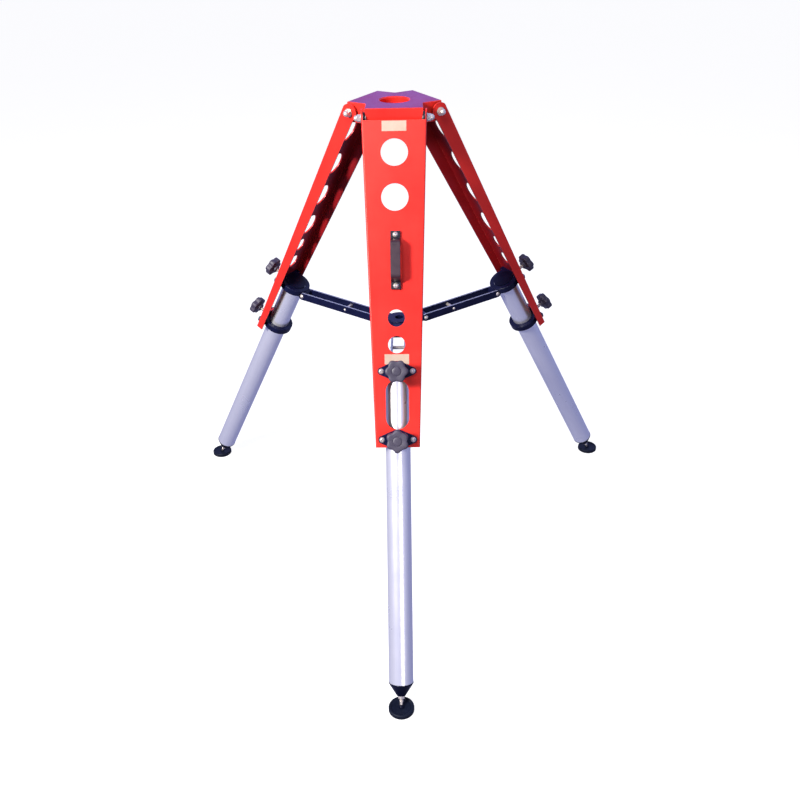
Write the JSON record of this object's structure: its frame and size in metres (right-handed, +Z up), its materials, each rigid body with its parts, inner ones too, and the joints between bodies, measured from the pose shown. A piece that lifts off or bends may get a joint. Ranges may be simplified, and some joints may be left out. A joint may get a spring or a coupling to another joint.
{
  "type": "instrument tripod",
  "caption": "Heavy folding instrument tripod: lobed head with a plain bore, tapered pierced channel legs, clamped sliding tubes, flat-bar spreader and ball-jointed round feet.",
  "frame": {"origin": "on the floor, on the head bore's axis, midway between the three feet", "axes": "+Z up along the head bore's axis; -Y towards the front leg, the one with the carrying handle"},
  "size_m": [1.1404, 0.9947, 1.08],
  "materials": {
    "red_coat": "red powder coat, satin",
    "black_anodised": "black anodised, satin",
    "tube_metal": "natural anodised, drawn",
    "steel": "bright turned",
    "knob_plastic": "moulded, satin",
    "plug_plastic": "moulded, semi-matt",
    "foot_rubber": "moulded rubber",
    "strap_plastic": "moulded, worn satin",
    "label_card": "printed film, blank",
    "nylon": "black nylon",
    "bush_brass": "turned"
  },
  "bodies": {
    "head": {"head_block": "red_coat", "hinge_bolts": "steel", "hinge_washers": "nylon"},
    "hub": {"spreader_hub": "black_anodised", "hub_bushes": "bush_brass"},
    "front_upper_leg": {"front_channel": "red_coat", "front_upper_ring": "black_anodised", "front_lower_ring": "black_anodised", "front_clamp_plates": "black_anodised", "front_clamp_screws": "steel", "carry_handle": "strap_plastic", "handle_screws": "steel", "label_plates": "label_card"},
    "front_lower_leg": {"front_tube": "tube_metal", "front_tube_cap": "plug_plastic", "front_end_plug": "plug_plastic", "front_lock_nut": "steel"},
    "front_foot_screw": {"front_foot_stud": "steel"},
    "front_foot": {"front_foot_pad": "foot_rubber"},
    "front_arm": {"front_arm_bars": "black_anodised", "front_arm_bolts": "steel"},
    "front_upper_screw": {"front_upper_stud": "steel"},
    "front_upper_star": {"front_upper_knob": "knob_plastic"},
    "front_lower_screw": {"front_lower_stud": "steel"},
    "front_lower_star": {"front_lower_knob": "knob_plastic"},
    "right_upper_leg": {"right_channel": "red_coat", "right_upper_ring": "black_anodised", "right_lower_ring": "black_anodised", "right_clamp_plates": "black_anodised", "right_clamp_screws": "steel"},
    "right_lower_leg": {"right_tube": "tube_metal", "right_tube_cap": "plug_plastic", "right_end_plug": "plug_plastic", "right_lock_nut": "steel"},
    "right_foot_screw": {"right_foot_stud": "steel"},
    "right_foot": {"right_foot_pad": "foot_rubber"},
    "right_arm": {"right_arm_bars": "black_anodised", "right_arm_bolts": "steel"},
    "right_upper_screw": {"right_upper_stud": "steel"},
    "right_upper_star": {"right_upper_knob": "knob_plastic"},
    "right_lower_screw": {"right_lower_stud": "steel"},
    "right_lower_star": {"right_lower_knob": "knob_plastic"},
    "left_upper_leg": {"left_channel": "red_coat", "left_upper_ring": "black_anodised", "left_lower_ring": "black_anodised", "left_clamp_plates": "black_anodised", "left_clamp_screws": "steel"},
    "left_lower_leg": {"left_tube": "tube_metal", "left_tube_cap": "plug_plastic", "left_end_plug": "plug_plastic", "left_lock_nut": "steel"},
    "left_foot_screw": {"left_foot_stud": "steel"},
    "left_foot": {"left_foot_pad": "foot_rubber"},
    "left_arm": {"left_arm_bars": "black_anodised", "left_arm_bolts": "steel"},
    "left_upper_screw": {"left_upper_stud": "steel"},
    "left_upper_star": {"left_upper_knob": "knob_plastic"},
    "left_lower_screw": {"left_lower_stud": "steel"},
    "left_lower_star": {"left_lower_knob": "knob_plastic"}
  },
  "joints": [
    {"name": "front_leg_fold", "type": "hinge", "parent": "head", "child": "front_upper_leg", "pos_m": [0, -0.07, 1.06], "axis": [1, 0, 0], "range_deg": [0, 23]},
    {"name": "front_arm_fold", "type": "hinge", "parent": "front_upper_leg", "child": "front_arm", "pos_m": [0, -0.2674, 0.59244], "axis": [1, 0, 0], "range_deg": [-108.14, 0]},
    {"name": "front_tube_slide", "type": "slide", "parent": "front_upper_leg", "child": "front_lower_leg", "axis": [0, 0.4787, 0.878], "range_m": [0, 0.38]},
    {"name": "front_foot_screw_travel", "type": "slide", "parent": "front_lower_leg", "child": "front_foot_screw", "axis": [0, 0.4787, 0.878], "range_m": [-0.008, 0.008]},
    {"name": "front_foot_tilt", "type": "hinge", "parent": "front_foot_screw", "child": "front_foot", "pos_m": [0, -0.62784, 0.0076], "axis": [1, 0, 0], "range_deg": [-20, 20]},
    {"name": "front_upper_screw_travel", "type": "slide", "parent": "front_upper_leg", "child": "front_upper_screw", "axis": [0, -0.878, 0.4787], "range_m": [0, 0.0025]},
    {"name": "front_upper_knob_turn", "type": "hinge", "parent": "front_upper_screw", "child": "front_upper_star", "pos_m": [0, -0.32519, 0.62851], "axis": [0, -0.878, 0.4787], "range_deg": [0, 720]},
    {"name": "front_lower_screw_travel", "type": "slide", "parent": "front_upper_leg", "child": "front_lower_screw", "axis": [0, -0.878, 0.4787], "range_m": [0, 0.0025]},
    {"name": "front_lower_knob_turn", "type": "hinge", "parent": "front_lower_screw", "child": "front_lower_star", "pos_m": [0, -0.39029, 0.5091], "axis": [0, -0.878, 0.4787], "range_deg": [0, 720]},
    {"name": "right_leg_fold", "type": "hinge", "parent": "head", "child": "right_upper_leg", "pos_m": [0.06062, 0.035, 1.06], "axis": [-0.5, 0.866, 0], "range_deg": [0, 23]},
    {"name": "right_arm_fold", "type": "hinge", "parent": "right_upper_leg", "child": "right_arm", "pos_m": [0.23158, 0.1337, 0.59244], "axis": [-0.5, 0.866, 0], "range_deg": [-108.14, 0]},
    {"name": "right_tube_slide", "type": "slide", "parent": "right_upper_leg", "child": "right_lower_leg", "axis": [-0.4146, -0.2393, 0.878], "range_m": [0, 0.38]},
    {"name": "right_foot_screw_travel", "type": "slide", "parent": "right_lower_leg", "child": "right_foot_screw", "axis": [-0.4146, -0.2393, 0.878], "range_m": [-0.008, 0.008]},
    {"name": "right_foot_tilt", "type": "hinge", "parent": "right_foot_screw", "child": "right_foot", "pos_m": [0.54373, 0.31392, 0.0076], "axis": [-0.5, 0.866, 0], "range_deg": [-20, 20]},
    {"name": "right_upper_screw_travel", "type": "slide", "parent": "right_upper_leg", "child": "right_upper_screw", "axis": [0.7604, 0.439, 0.4787], "range_m": [0, 0.0025]},
    {"name": "right_upper_knob_turn", "type": "hinge", "parent": "right_upper_screw", "child": "right_upper_star", "pos_m": [0.28162, 0.16259, 0.62851], "axis": [0.7604, 0.439, 0.4787], "range_deg": [0, 720]},
    {"name": "right_lower_screw_travel", "type": "slide", "parent": "right_upper_leg", "child": "right_lower_screw", "axis": [0.7604, 0.439, 0.4787], "range_m": [0, 0.0025]},
    {"name": "right_lower_knob_turn", "type": "hinge", "parent": "right_lower_screw", "child": "right_lower_star", "pos_m": [0.338, 0.19515, 0.5091], "axis": [0.7604, 0.439, 0.4787], "range_deg": [0, 720]},
    {"name": "left_leg_fold", "type": "hinge", "parent": "head", "child": "left_upper_leg", "pos_m": [-0.06062, 0.035, 1.06], "axis": [-0.5, -0.866, 0], "range_deg": [0, 23]},
    {"name": "left_arm_fold", "type": "hinge", "parent": "left_upper_leg", "child": "left_arm", "pos_m": [-0.23158, 0.1337, 0.59244], "axis": [-0.5, -0.866, 0], "range_deg": [-108.14, 0]},
    {"name": "left_tube_slide", "type": "slide", "parent": "left_upper_leg", "child": "left_lower_leg", "axis": [0.4146, -0.2393, 0.878], "range_m": [0, 0.38]},
    {"name": "left_foot_screw_travel", "type": "slide", "parent": "left_lower_leg", "child": "left_foot_screw", "axis": [0.4146, -0.2393, 0.878], "range_m": [-0.008, 0.008]},
    {"name": "left_foot_tilt", "type": "hinge", "parent": "left_foot_screw", "child": "left_foot", "pos_m": [-0.54373, 0.31392, 0.0076], "axis": [-0.5, -0.866, 0], "range_deg": [-20, 20]},
    {"name": "left_upper_screw_travel", "type": "slide", "parent": "left_upper_leg", "child": "left_upper_screw", "axis": [-0.7604, 0.439, 0.4787], "range_m": [0, 0.0025]},
    {"name": "left_upper_knob_turn", "type": "hinge", "parent": "left_upper_screw", "child": "left_upper_star", "pos_m": [-0.28162, 0.16259, 0.62851], "axis": [-0.7604, 0.439, 0.4787], "range_deg": [0, 720]},
    {"name": "left_lower_screw_travel", "type": "slide", "parent": "left_upper_leg", "child": "left_lower_screw", "axis": [-0.7604, 0.439, 0.4787], "range_m": [0, 0.0025]},
    {"name": "left_lower_knob_turn", "type": "hinge", "parent": "left_lower_screw", "child": "left_lower_star", "pos_m": [-0.338, 0.19515, 0.5091], "axis": [-0.7604, 0.439, 0.4787], "range_deg": [0, 720]},
    {"name": "hub_slide", "type": "slide", "parent": "head", "child": "hub", "axis": [0, 0, -1], "range_m": [0, 0.23148]}
  ],
  "couplings": [
    {"joint": "front_arm_fold", "follows": "front_leg_fold", "ratio": -4.7012},
    {"joint": "front_upper_screw_travel", "follows": "front_upper_knob_turn", "m_per_rad": 0.00019894},
    {"joint": "front_lower_screw_travel", "follows": "front_lower_knob_turn", "m_per_rad": 0.00019894},
    {"joint": "right_leg_fold", "follows": "front_leg_fold", "ratio": 1},
    {"joint": "right_arm_fold", "follows": "front_leg_fold", "ratio": -4.7012},
    {"joint": "right_upper_screw_travel", "follows": "right_upper_knob_turn", "m_per_rad": 0.00019894},
    {"joint": "right_lower_screw_travel", "follows": "right_lower_knob_turn", "m_per_rad": 0.00019894},
    {"joint": "left_leg_fold", "follows": "front_leg_fold", "ratio": 1},
    {"joint": "left_arm_fold", "follows": "front_leg_fold", "ratio": -4.7012},
    {"joint": "left_upper_screw_travel", "follows": "left_upper_knob_turn", "m_per_rad": 0.00019894},
    {"joint": "left_lower_screw_travel", "follows": "left_lower_knob_turn", "m_per_rad": 0.00019894},
    {"joint": "hub_slide", "follows": "front_leg_fold", "m_per_rad": 0.57638}
  ]
}
